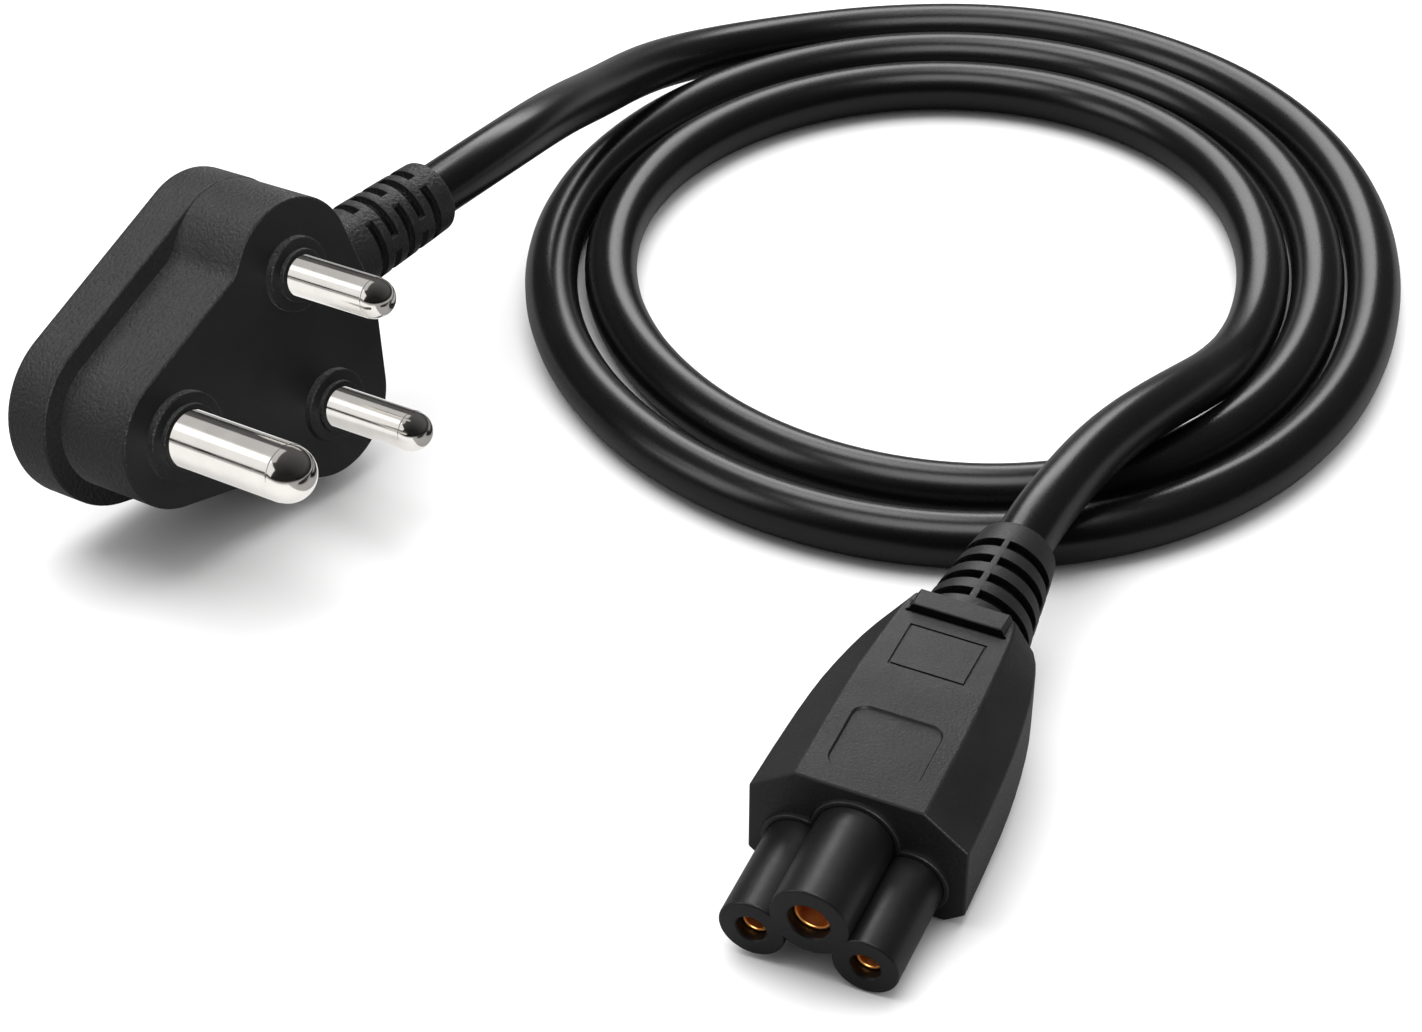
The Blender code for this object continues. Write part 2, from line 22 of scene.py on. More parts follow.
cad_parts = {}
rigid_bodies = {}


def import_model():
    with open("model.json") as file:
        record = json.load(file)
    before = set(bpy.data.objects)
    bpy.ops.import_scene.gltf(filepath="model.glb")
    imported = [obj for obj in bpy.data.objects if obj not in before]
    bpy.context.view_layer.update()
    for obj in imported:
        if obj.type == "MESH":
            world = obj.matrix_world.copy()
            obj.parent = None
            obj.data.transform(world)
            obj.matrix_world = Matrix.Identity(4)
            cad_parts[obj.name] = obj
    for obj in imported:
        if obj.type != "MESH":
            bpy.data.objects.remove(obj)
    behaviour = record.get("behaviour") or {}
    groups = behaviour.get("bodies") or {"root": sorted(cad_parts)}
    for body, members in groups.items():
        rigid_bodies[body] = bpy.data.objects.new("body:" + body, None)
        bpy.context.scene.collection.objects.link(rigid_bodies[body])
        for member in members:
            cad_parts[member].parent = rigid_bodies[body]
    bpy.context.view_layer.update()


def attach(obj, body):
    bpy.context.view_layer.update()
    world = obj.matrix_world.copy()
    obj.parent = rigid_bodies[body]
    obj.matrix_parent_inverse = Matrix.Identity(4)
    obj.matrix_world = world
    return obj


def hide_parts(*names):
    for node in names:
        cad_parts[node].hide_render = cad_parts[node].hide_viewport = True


LOG = logging.getLogger("power_cord")

MM = 0.001
ROOT = "root"
SMOOTH_ANGLE = math.radians(30)
ARC_STEP = math.radians(4)
MERGE = 1e-6
# FIT is the room between pieces that meet, SINK how deep a joined solid starts inside another
FIT = 0.3 * MM
SINK = 1.0 * MM
CUTTER_REACH = 3.0 * MM
# Where the middle part of a noise value lies, for roughness and for colour
NOISE_MIDDLE = (0.3, 0.7)
TINT_STOPS = (0.35, 0.65)


def in_mm(*place: float) -> Vector:
    """Default of a class's field: a place that is stated in millimetres."""
    return field(default_factory=lambda: Vector(place) * MM)


class Slot(Enum):
    """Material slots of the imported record."""

    BODY = "body_pvc"
    CORD = "cord_pvc"
    NOSE = "nose_plastic"
    PIN = "pin_metal"
    CONTACT = "contact_metal"


class Cut(Enum):
    """What a helper solid does to the solid that it meets."""

    ADD = "UNION"
    TAKE = "DIFFERENCE"


# Node helpers

def new_material(name: str) -> tuple[Material, NodeTree, Node]:
    """Start a node material, and hand back its node tree and its Principled shader too."""
    material = bpy.data.materials.new(name)
    material.use_nodes = True
    tree = material.node_tree
    return material, tree, tree.nodes["Principled BSDF"]


def feed(tree: NodeTree, node: Node, inputs: dict[str, object]) -> Node:
    """Set some inputs of a node.

    Args:
        tree: The tree that the node is in.
        node: The node.
        inputs: What each input gets: a socket is linked to it, anything else is its value.

    Returns:
        The node.
    """
    for name, value in inputs.items():
        if isinstance(value, NodeSocket):
            tree.links.new(value, node.inputs[name])
        else:
            node.inputs[name].default_value = value
    return node


def noise_field(tree: NodeTree, feature: float, detail: float) -> NodeSocket:
    """Noise over the object's own coordinates, with features of a size in metres."""
    coords = tree.nodes.new("ShaderNodeTexCoord")
    inputs = {"Vector": coords.outputs["Object"], "Scale": 1.0 / feature, "Detail": detail}
    return feed(tree, tree.nodes.new("ShaderNodeTexNoise"), inputs).outputs["Fac"]


def spread(tree: NodeTree, value: NodeSocket, *limits: float) -> NodeSocket:
    """Map a value from one range onto another.

    Args:
        tree: The tree that gets the node.
        value: The value's socket.
        limits: Low and high end of the value's range, then of the range that it is mapped onto.

    Returns:
        The mapped value's socket.
    """
    names = ("From Min", "From Max", "To Min", "To Max")
    inputs = {"Value": value, **dict(zip(names, limits))}
    return feed(tree, tree.nodes.new("ShaderNodeMapRange"), inputs).outputs["Result"]


def tint(tree: NodeTree, value: NodeSocket, *tones: Sequence[float]) -> NodeSocket:
    """Colour between a dark and a light tone, led by a noise value."""
    ramp = tree.nodes.new("ShaderNodeValToRGB")
    for stop, place, tone in zip(ramp.color_ramp.elements, TINT_STOPS, tones):
        stop.position = place
        stop.color = (*tone, 1.0)
    return feed(tree, ramp, {"Fac": value}).outputs["Color"]


def bump(tree: NodeTree, height: NodeSocket, depth: float, under: NodeSocket | None = None) -> NodeSocket:
    """Normal of a relief, its depth in metres, over the normal of another relief under it."""
    inputs = {"Height": height, "Strength": 1.0, "Distance": depth}
    if under is not None:
        inputs["Normal"] = under
    return feed(tree, tree.nodes.new("ShaderNodeBump"), inputs).outputs["Normal"]


@dataclass(frozen=True)
class Pvc:
    """Black PVC with a grain: fine wrinkles over a slightly uneven moulding.

    grain and grain_depth size the wrinkles, swell and swell_depth the slow unevenness, and gloss
    is the shader's specular level.
    """

    name: str
    dark: tuple[float, float, float] = (0.010, 0.010, 0.011)
    light: tuple[float, float, float] = (0.014, 0.014, 0.015)
    smooth: float = 0.44
    dull: float = 0.56
    gloss: float = 0.5
    grain: float = 0.45 * MM
    grain_depth: float = 0.2 * MM
    swell: float = 6.0 * MM
    swell_depth: float = 0.05 * MM

    def build(self) -> Material:
        """Make the material."""
        material, tree, shader = new_material(self.name)
        slow = noise_field(tree, self.swell, 1.0)
        fine = noise_field(tree, self.grain, 3.0)
        feed(tree, shader, {
            "Specular IOR Level": self.gloss,
            "Base Color": tint(tree, slow, self.dark, self.light),
            "Roughness": spread(tree, fine, *NOISE_MIDDLE, self.smooth, self.dull),
            "Normal": bump(tree, fine, self.grain_depth, bump(tree, slow, self.swell_depth)),
        })
        return material


@dataclass(frozen=True)
class Plate:
    """Bright metal with faint, slow changes of gloss; clouded is how bright its darker parts are."""

    name: str
    colour: tuple[float, float, float]
    bright: float
    dull: float
    cloud: float = 3.0 * MM
    clouded: float = 0.93

    def build(self) -> Material:
        """Make the material."""
        material, tree, shader = new_material(self.name)
        slow = noise_field(tree, self.cloud, 2.0)
        darker = tuple(self.clouded * c for c in self.colour)
        feed(tree, shader, {
            "Metallic": 1.0,
            "Base Color": tint(tree, slow, darker, self.colour),
            "Roughness": spread(tree, slow, *NOISE_MIDDLE, self.bright, self.dull),
        })
        return material


# Mesh helpers

def angles(start: float, end: float, steps: int) -> list[float]:
    """Evenly spaced angles, ends included."""
    return [start + (end - start) * i / steps for i in range(steps + 1)]


def arc(centre: Vector, radius: float, start: float, end: float) -> list[Vector]:
    """Points on an arc in a plane, ends included, between two angles in radians."""
    steps = max(1, math.ceil(abs(end - start) / ARC_STEP))
    return [centre + radius * Vector((math.cos(a), math.sin(a))) for a in angles(start, end, steps)]


def extrude(bm: BMesh, faces: list[BMFace]) -> list[BMVert]:
    """Extrude faces on the spot and hand back the new vertices, which are still to be moved."""
    grown = bmesh.ops.extrude_face_region(bm, geom=faces)["geom"]
    return [v for v in grown if isinstance(v, BMVert)]


def prism(outline: Sequence[Vector], low: float, high: float) -> BMesh:
    """Solid over a closed outline in the XY plane, between two heights."""
    bm = bmesh.new()
    face = bm.faces.new([bm.verts.new((p.x, p.y, low)) for p in outline])
    bmesh.ops.translate(bm, vec=(0, 0, high - low), verts=extrude(bm, [face]))
    return bm


def round_edges(bm: BMesh, edges: Iterable[BMEdge], width: float, segments: int) -> None:
    """Round some edges of a solid."""
    bmesh.ops.bevel(bm, geom=list(edges), offset=width, segments=segments, affect="EDGES", profile=0.5,
                    material=-1)


def rim(bm: BMesh, height: float) -> list[BMEdge]:
    """Edges of a prism that lie at one height."""
    return [e for e in bm.edges if all(abs(v.co.z - height) < MERGE for v in e.verts)]


def turned(profile: Sequence[tuple[float, float]], sides: int, place: Sequence[float] = (0, 0)) -> BMesh:
    """Spin a profile round an upright axis.

    Args:
        profile: Points of (radius, height); a closed solid starts and ends on the axis.
        sides: Steps of the full turn.
        place: Where the axis stands, in the XY plane.

    Returns:
        The solid.
    """
    bm = bmesh.new()
    points = [bm.verts.new((radius, 0, height)) for radius, height in profile]
    edges = [bm.edges.new(pair) for pair in zip(points, points[1:])]
    bmesh.ops.spin(bm, geom=points + edges, cent=(0, 0, 0), axis=(0, 0, 1), angle=math.tau, steps=sides,
                   use_merge=True)
    bmesh.ops.remove_doubles(bm, verts=bm.verts, dist=MERGE)
    bmesh.ops.recalc_face_normals(bm, faces=bm.faces)
    return moved(bm, shift(*place))


def rounded_corner(radius: float, height: float, size: float, steps: int = 4) -> list[tuple[float, float]]:
    """Profile points of a rounded outer edge, from the wall to the top."""
    return [(radius - size + size * math.cos(a), height - size + size * math.sin(a))
            for a in angles(0.0, math.pi / 2, steps)]


def moved(bm: BMesh, matrix: Matrix) -> BMesh:
    """Transform a whole bmesh and hand it back."""
    bmesh.ops.transform(bm, matrix=matrix, verts=bm.verts)
    return bm


def shift(x: float, y: float, z: float = 0.0) -> Matrix:
    """Matrix of a plain move."""
    return Matrix.Translation((x, y, z))


def as_object(name: str, bm: BMesh) -> Object:
    """Turn a bmesh into an object of the scene, with its faces pointing out."""
    bmesh.ops.recalc_face_normals(bm, faces=bm.faces)
    mesh = bpy.data.meshes.new(name)
    bm.to_mesh(mesh)
    bm.free()
    obj = bpy.data.objects.new(name, mesh)
    bpy.context.scene.collection.objects.link(obj)
    return obj


def moulded(name: str, first: BMesh, others: Iterable[tuple[Cut, BMesh]]) -> Object:
    """Join solids into one moulding, and cut others out of it.

    Args:
        name: Name of the moulding.
        first: The solid that it starts from.
        others: What follows, in order.

    Returns:
        The moulding, one closed mesh with no modifiers left.
    """
    obj = as_object(name, first)
    helpers = []
    for number, (cut, bm) in enumerate(others):
        helper = as_object(f"{name}_helper_{number}", bm)
        modifier = obj.modifiers.new(helper.name, "BOOLEAN")
        modifier.operation = cut.value
        modifier.object = helper
        helpers.append(helper)
    graph = bpy.context.evaluated_depsgraph_get()
    mesh = bpy.data.meshes.new_from_object(obj.evaluated_get(graph))
    obj.modifiers.clear()
    obj.data = mesh
    bm = bmesh.new()
    bm.from_mesh(mesh)
    bmesh.ops.remove_doubles(bm, verts=bm.verts, dist=2 * MERGE)
    bmesh.ops.dissolve_degenerate(bm, dist=MERGE, edges=bm.edges)
    bm.to_mesh(mesh)
    bm.free()
    for helper in helpers:
        bpy.data.objects.remove(helper)
    return obj


def rounded_outline(width: float, length: float, corner: float, grow: float = 0.0) -> list[Vector]:
    """Rectangle with rounded corners, centred on the origin; grow then moves it out all round."""
    x, y = width / 2 - corner, length / 2 - corner
    outline: list[Vector] = []
    for i, place in enumerate(((x, y), (-x, y), (-x, -y), (x, -y))):
        outline += arc(Vector(place), corner + grow, i * math.pi / 2, (i + 1) * math.pi / 2)
    return outline


def recess(width: float, length: float, corner: float, depth: float, lip: float) -> BMesh:
    """Cutter for a shallow square recess with a sloped lip; the surface that it cuts is z = 0.

    Args:
        width: Size along X, without the lip.
        length: Size along Y.
        corner: Radius of its corners.
        depth: How deep it cuts.
        lip: Width of the lip at the surface.

    Returns:
        The solid.
    """
    bm = bmesh.new()
    rings = []
    for grow, z in ((-lip, -depth), (0.0, lip - depth), (0.0, -lip), (2 * lip, lip)):
        outline = rounded_outline(width, length, corner, grow)
        rings.append([bm.verts.new((p.x, p.y, z)) for p in outline])
    for near, far in zip(rings, rings[1:]):
        for i in range(len(near)):
            j = (i + 1) % len(near)
            bm.faces.new((near[i], near[j], far[j], far[i]))
    bm.faces.new(rings[0])
    bm.faces.new(rings[-1])
    return bm


def engraved_frame(width: float, length: float, line: float, height: float) -> BMesh:
    """Rectangular ring on z = 0, centred on the origin; width and length are its outer size."""
    bm = bmesh.new()
    bmesh.ops.create_grid(bm, x_segments=1, y_segments=1, size=0.5)
    bmesh.ops.scale(bm, vec=(width, length, 1), verts=bm.verts)
    bmesh.ops.inset_region(bm, faces=bm.faces, thickness=line, use_even_offset=True, use_boundary=True)
    middle = min(bm.faces, key=lambda f: f.calc_center_median().length)
    bmesh.ops.delete(bm, geom=[middle], context="FACES_ONLY")
    bmesh.ops.translate(bm, vec=(0, 0, height), verts=extrude(bm, list(bm.faces)))
    return bm


def settle(obj: Object, place: Matrix, materials: Sequence[Material], slot: Slot, *nodes: str) -> Object:
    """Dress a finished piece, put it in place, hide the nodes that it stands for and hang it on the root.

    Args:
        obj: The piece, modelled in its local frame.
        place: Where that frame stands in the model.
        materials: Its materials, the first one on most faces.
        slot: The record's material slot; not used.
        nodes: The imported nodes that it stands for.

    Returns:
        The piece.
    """
    mesh = obj.data
    mesh.transform(place)
    mesh.shade_smooth()
    mesh.set_sharp_from_angle(angle=SMOOTH_ANGLE)
    numbers = [face.material_index for face in mesh.polygons]
    mesh.materials.clear()
    for material in materials:
        mesh.materials.append(material)
    mesh.polygons.foreach_set("material_index", numbers)
    obj.modifiers.new("even_normals", "WEIGHTED_NORMAL").keep_sharp = True
    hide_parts(*nodes)
    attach(obj, ROOT)
    LOG.info("%s stands for %s with %d faces", obj.name, ", ".join(nodes), len(mesh.polygons))
    return obj


@dataclass(frozen=True)
class StrainRelief:
    """Tapered sleeve with rows of slots round it and a plain collar at its end, along +Y.

    first_row is the collar's length, pitch the distance between rows, web the part of each
    slot's share of the turn that stays closed, and stagger the turn of every second row. What
    lies deeper than painted_shade_depth below the wall gets painted shade, a dark colour that
    stands in for the shadow inside a slot.
    """

    length: float
    root_radius: float
    end_radius: float
    rows: int
    first_row: float
    pitch: float
    slot_width: float
    slots: int
    web: float
    stagger: float = 0.0
    depth: float = 1.0 * MM
    shoulder: float = 0.8 * MM
    edge: float = 0.1 * MM
    painted_shade_depth: float = 0.3 * MM
    sides: int = 96

    def covers(self, point: Vector) -> bool:
        """Whether a point of the sleeve's own frame lies below its wall, which only its slots reach; such
        points get painted shade.
        """
        below = self.radius(point.y) - math.hypot(point.x, point.z)
        return self.depth < point.y < self.length - self.shoulder and below > self.painted_shade_depth

    def slot_starts(self) -> list[float]:
        """Where each row begins, from the collar back to the root."""
        last = self.length - self.first_row
        return [last - row * self.pitch - self.slot_width for row in range(self.rows)]

    def radius(self, y: float) -> float:
        """Radius of the sleeve's wall at a distance from its root."""
        return self.root_radius + (self.end_radius - self.root_radius) * y / self.length

    def build(self) -> BMesh:
        """Make the sleeve."""
        stops = sorted(s + w for s in self.slot_starts() for w in (0.0, self.slot_width))
        wall = [(self.radius(y), y) for y in [0.0, *stops]]
        collar = rounded_corner(self.end_radius, self.length, self.shoulder)
        bm = turned([(0.0, 0.0), *wall, *collar, (0.0, self.length)], self.sides)
        rims: list[BMEdge] = []
        for row, start in enumerate(self.slot_starts()):
            for slot in range(self.slots):
                rims += self.sink(bm, self.cells(bm, start, slot, self.stagger * (row % 2)))
        round_edges(bm, rims, self.edge, 2)
        return moved(bm, Matrix.Rotation(-math.pi / 2, 4, "X"))

    def cells(self, bm: BMesh, start: float, slot: int, turn: float) -> list[BMFace]:
        """Wall faces that one slot takes up."""
        share = math.tau / self.slots
        found = []
        for face in bm.faces:
            middle = face.calc_center_median()
            angle = (math.atan2(middle.x, middle.y) - turn - slot * share) % math.tau
            if start < middle.z < start + self.slot_width and self.web / 2 < angle < share - self.web / 2:
                found.append(face)
        return found

    def sink(self, bm: BMesh, cells: list[BMFace]) -> list[BMEdge]:
        """Press some wall faces inwards and return the edges of the mouth that this leaves."""
        inside = set(cells)
        mouth = [e for f in cells for e in f.edges if any(n not in inside for n in e.link_faces)]
        sunk = extrude(bm, cells)
        bmesh.ops.delete(bm, geom=cells, context="FACES")
        for vertex in sunk:
            vertex.co -= Vector((vertex.co.x, vertex.co.y, 0)).normalized() * self.depth
        return mouth


@dataclass
class Plug:
    """Right-angle plug: flange, waisted front block, bosses, relief and three pins.

    Its local frame has the earth pin at the origin, +Y toward the cord and +Z along the pins. The
    material face is for what faces the front, and painted_shade is painted shadow for the insides
    of the slots.
    """

    moulding: Material
    face: Material
    painted_shade: Material
    nickel: Material
    place: Vector = in_mm(-40.1, 14.15, 19.04)
    yaw: float = math.radians(47.3)
    slope: float = math.radians(16.9)
    lean: float = math.radians(9.0)
    pin_spacing: float = 19.05 * MM
    earth_to_line: float = 22.23 * MM
    power_pin: tuple[float, float] = (2.54 * MM, 16.3 * MM)
    earth_pin: tuple[float, float] = (3.53 * MM, 21.4 * MM)
    pin_root: float = 5.7 * MM
    flange_back: float = -18.7 * MM
    flange_front: float = -11.3 * MM
    flange_earth_radius: float = 11.5 * MM
    flange_side_radius: float = 9.5 * MM
    cord_side_radius: float = 11.15 * MM
    block_inset: float = 0.15 * MM
    block_earth_radius: float = 9.0 * MM
    block_taper: float = math.radians(17.9)
    waist_fillet: float = 3.2 * MM
    back_rounding: float = 1.2 * MM
    step_rounding: float = 0.3 * MM
    front_rounding: float = 0.35 * MM
    boss_height: float = 1.0 * MM
    boss_margin: float = 2.1 * MM
    boss_edge: float = 0.3 * MM
    collar_height: float = 1.6 * MM
    collar_margin: float = 0.75 * MM
    collar_edge: float = 0.15 * MM
    bore_play: float = 0.06 * MM
    dome_step: float = 0.07 * MM
    dome_rings: int = 16
    front_zone: float = 0.2 * MM
    facing: float = 0.99
    relief_root: Vector = in_mm(-2.6, 28.23, -7.9)
    relief_swing: float = math.radians(2.4)
    sides: int = 96
    bore_sides: int = 72
    relief: StrainRelief = StrainRelief(
        length=23.8 * MM, root_radius=5.6 * MM, end_radius=4.8 * MM, rows=5, first_row=3.0 * MM,
        pitch=2.5 * MM, slot_width=1.25 * MM, slots=3, web=math.radians(22), stagger=math.radians(60))

    @property
    def matrix(self) -> Matrix:
        """Where the local frame stands in the model."""
        stand = Euler((math.pi / 2 - self.lean, self.slope, self.yaw)).to_matrix().to_4x4()
        side = math.atan2(self.earth_to_line, self.pin_spacing / 2)
        return Matrix.Translation(self.place) @ stand @ Matrix.Rotation(-side, 4, "Z")

    def cord_exit(self, gap: float) -> Vector:
        """Point on the relief's axis, a gap beyond its end."""
        swing = Vector((math.sin(self.relief_swing), math.cos(self.relief_swing), 0))
        return self.matrix @ (self.relief_root + swing * (self.relief.length + gap))

    def pins(self) -> tuple[tuple[str, Vector, float, float], ...]:
        """Name, place, radius and length of each pin."""
        half = self.pin_spacing / 2
        return (
            ("earth_pin", Vector((0, 0)), *self.earth_pin),
            ("line_pin", Vector((-half, self.earth_to_line)), *self.power_pin),
            ("neutral_pin", Vector((half, self.earth_to_line)), *self.power_pin),
        )

    def flange_outline(self) -> list[Vector]:
        """Rounded triangle round the three pins, a little fuller on the cord's side."""
        half, row = self.pin_spacing / 2, self.earth_to_line
        fuller = self.flange_earth_radius - self.flange_side_radius
        lean = math.atan2(row, half) - math.acos(fuller / math.hypot(row, half))
        crown = math.acos((self.cord_side_radius - self.flange_side_radius) / half)
        outline = arc(Vector((0, 0)), self.flange_earth_radius, math.pi - lean, math.tau + lean)
        outline += arc(Vector((half, row)), self.flange_side_radius, lean, crown)
        outline += arc(Vector((0, row)), self.cord_side_radius, crown, math.pi - crown)[1:-1]
        outline += arc(Vector((-half, row)), self.flange_side_radius, math.pi - crown, math.pi - lean)
        return outline

    def block_outline(self) -> list[Vector]:
        """Front block: level with the flange at the short pins, waisted toward the long one."""
        half, row = self.pin_spacing / 2, self.earth_to_line
        radius = self.flange_side_radius - self.block_inset
        crown = math.acos((self.cord_side_radius - self.flange_side_radius) / half)
        neutral = Vector((half, row))
        normal = Vector((math.cos(self.block_taper), -math.sin(self.block_taper)))
        to_edge = self.block_earth_radius - normal.dot(neutral)
        swing = math.acos((to_edge + self.waist_fillet) / (radius + self.waist_fillet))
        meet = -self.block_taper - swing
        fillet = neutral + (radius + self.waist_fillet) * Vector((math.cos(meet), math.sin(meet)))
        right = arc(Vector((0, 0)), self.block_earth_radius, -math.pi / 2, -self.block_taper)
        right += arc(fillet, self.waist_fillet, math.pi - self.block_taper, math.pi + meet)
        right += arc(neutral, radius, meet, crown)[1:]
        right += arc(Vector((0, row)), self.cord_side_radius - self.block_inset, crown, math.pi / 2)[1:]
        return right + [Vector((-p.x, p.y)) for p in reversed(right[1:-1])]

    def boss(self, place: Vector, radius: float) -> BMesh:
        """Round step with a low collar, which a pin comes out of."""
        outer, inner = radius + self.boss_margin, radius + self.collar_margin
        step = [(0.0, -SINK), (outer, -SINK), *rounded_corner(outer, self.boss_height, self.boss_edge)]
        collar = [(inner, self.boss_height), *rounded_corner(inner, self.collar_height, self.collar_edge)]
        return turned([*step, *collar, (0.0, self.collar_height)], self.sides, place)

    def bore(self, place: Vector, radius: float) -> BMesh:
        """Cutter of the hole that a pin sits in."""
        low, high = -self.pin_root - FIT, CUTTER_REACH
        wide = radius + self.bore_play
        return turned([(0, low), (wide, low), (wide, high), (0, high)], self.bore_sides, place)

    def body(self) -> Object:
        """The moulding, with every step, boss and slot."""
        flange = prism(self.flange_outline(), self.flange_back, self.flange_front)
        round_edges(flange, rim(flange, self.flange_back), self.back_rounding, 5)
        round_edges(flange, rim(flange, self.flange_front), self.step_rounding, 3)
        block = prism(self.block_outline(), self.flange_front - SINK, 0.0)
        round_edges(block, rim(block, 0.0), self.front_rounding, 3)
        sleeve_place = Matrix.Translation(self.relief_root)
        sleeve = moved(self.relief.build(), sleeve_place @ Matrix.Rotation(-self.relief_swing, 4, "Z"))
        steps = [(Cut.ADD, block), (Cut.ADD, sleeve)]
        steps += [(Cut.ADD, self.boss(place, radius)) for _, place, radius, _ in self.pins()]
        steps += [(Cut.TAKE, self.bore(place, radius)) for _, place, radius, _ in self.pins()]
        return moulded("plug_moulding", flange, steps)

    def pin(self, name: str, place: Vector, radius: float, length: float) -> Object:
        """Round pin with a domed end and a fine step where the dome starts."""
        step = self.dome_step
        dome = radius - step
        cap = rounded_corner(dome, length, dome, self.dome_rings)[:-1]
        shank = [(0.0, -self.pin_root), (radius, -self.pin_root), (radius, length - dome - 2 * step),
                 (radius - 0.3 * step, length - dome - 0.6 * step)]
        return as_object(name + "_metal", turned([*shank, *cap, (0.0, length)], self.sides, place))

    def build(self) -> list[Object]:
        """Make and dress every piece of the plug."""
        body = self.body()
        straighten = Matrix.Rotation(self.relief_swing, 4, "Z") @ Matrix.Translation(-self.relief_root)
        # Front faces get the face material; faces deep in the relief's slots get painted shade, a dark
        # colour standing in for their shadow.
        for face in body.data.polygons:
            face.material_index = int(face.normal.z > self.facing and face.center.z > -self.front_zone)
            if self.relief.covers(straighten @ face.center):
                face.material_index = 2
        pieces = [settle(body, self.matrix, (self.moulding, self.face, self.painted_shade), Slot.BODY, "plug_body")]
        for name, place, radius, length in self.pins():
            pin = self.pin(name, place, radius, length)
            pieces.append(settle(pin, self.matrix, (self.nickel,), Slot.PIN, name))
        return pieces


@dataclass
class Connector:
    """Cloverleaf connector: eight-sided body, nose of three lobes, contacts and relief.

    Its local frame has the front face at y = 0, +Y toward the cord and +Z out of the upper side.
    Each of the sections has its distance from that face, half width, half of its flat top's
    width, top and bottom, in millimetres.
    uneven keeps the ends of the collar's posts out of one plane, which the Booleans don't like.
    The material painted_shade is painted shadow for the insides of the slots and the front
    of the ledge.
    """

    moulding: Material
    painted_shade: Material
    carrier: Material
    copper: Material
    place: Vector = in_mm(37.3, -45.75, 7.92)
    yaw: float = math.radians(-23.8)
    tilt: float = math.radians(6.0)
    roll: float = math.radians(2.8)
    sections: tuple[tuple[float, ...], ...] = (
        (0.0, 12.5, 7.35, 7.9, -7.45),
        (6.0, 12.35, 7.35, 7.9, -7.45),
        (12.0, 12.08, 7.32, 7.9, -7.45),
        (15.5, 11.82, 7.24, 7.9, -7.45),
        (18.0, 11.55, 7.15, 7.9, -7.45),
        (21.0, 11.15, 7.0, 7.72, -7.38),
        (24.0, 10.65, 6.82, 7.54, -7.3),
        (26.5, 10.12, 6.66, 7.39, -7.2),
        (28.8, 9.5, 6.5, 7.25, -7.1),
        (30.3, 8.98, 6.2, 7.16, -7.03),
        (31.6, 8.3, 5.8, 7.08, -6.95),
    )
    chamfer_drop: float = 4.0 * MM
    foot_drop: float = 1.7 * MM
    foot_inset: float = 2.2 * MM
    nose_length: float = 13.4 * MM
    nose_root: float = 3.6 * MM
    earth_lobe: Vector = in_mm(0.0, 1.6)
    lobe_spread: float = 6.4 * MM
    lobe_drop: float = -2.4 * MM
    earth_lobe_radius: float = 4.5 * MM
    side_lobe_radius: float = 3.75 * MM
    nose_edge: float = 0.25 * MM
    nose_play: float = 0.08 * MM
    collar_wall: float = 0.3 * MM
    collar_rise: float = 0.6 * MM
    collar_edge: float = 0.2 * MM
    earth_hole: float = 2.35 * MM
    side_hole: float = 1.7 * MM
    hole_depth: float = 11.0 * MM
    hole_lip: float = 0.15 * MM
    hole_sides: int = 64
    contact_length: float = 8.5 * MM
    contact_setback: float = 1.3 * MM
    contact_wall: float = 0.4 * MM
    contact_play: float = 0.1 * MM
    mouth_rings: int = 8
    relief_start: float = 31.0 * MM
    top: float = 7.9 * MM
    edge: float = 0.28 * MM
    crease: float = 18.0 * MM
    back_slope: float = math.radians(3.44)
    square: tuple[float, float] = (10.2 * MM, 9.5 * MM)
    square_place: float = 7.6 * MM
    square_corner: float = 1.6 * MM
    square_depth: float = 0.3 * MM
    square_lip: float = 0.1 * MM
    frame: tuple[float, float] = (9.0 * MM, 7.2 * MM)
    frame_place: float = 4.9 * MM
    frame_line: float = 0.3 * MM
    frame_depth: float = 0.22 * MM
    groove: tuple[float, float] = (11.8 * MM, 0.6 * MM)
    groove_corner: float = 0.27 * MM
    groove_depth: float = 0.4 * MM
    ledge_place: float = 10.8 * MM
    ledge_length: float = 2.8 * MM
    ledge_foot: Vector = in_mm(6.1, -1.0)
    ledge_top: Vector = in_mm(5.2, 0.8)
    ledge_edge: float = 0.16 * MM
    facing: float = 0.9
    sides: int = 96
    uneven: float = 0.004 * MM
    relief: StrainRelief = StrainRelief(
        length=18.4 * MM, root_radius=7.1 * MM, end_radius=4.9 * MM, rows=4, first_row=4.0 * MM,
        pitch=3.35 * MM, slot_width=1.5 * MM, slots=4, web=math.radians(10))

    @property
    def matrix(self) -> Matrix:
        """Where the local frame stands in the model."""
        turns = ((self.yaw, "Z"), (self.tilt, "X"), (self.roll, "Y"))
        matrix = Matrix.Translation(self.place)
        for angle, axis in turns:
            matrix = matrix @ Matrix.Rotation(angle, 4, axis)
        return matrix

    def cord_exit(self, gap: float) -> Vector:
        """Point on the relief's axis, a gap beyond its end."""
        return self.matrix @ Vector((0, self.relief_start + self.relief.length + gap, 0))

    def ring(self, bm: BMesh, section: Sequence[float]) -> list[BMEdge]:
        """Closed ring of edges of one eight-sided section."""
        y, half_width, half_flat, top, bottom = (value * MM for value in section)
        right = ((half_flat, top), (half_width, top - self.chamfer_drop),
                 (half_width, bottom + self.foot_drop), (half_width - self.foot_inset, bottom))
        points = [bm.verts.new((x, y, z)) for x, z in (*right, *((-x, z) for x, z in reversed(right)))]
        return [bm.edges.new(pair) for pair in zip(points, points[1:] + points[:1])]

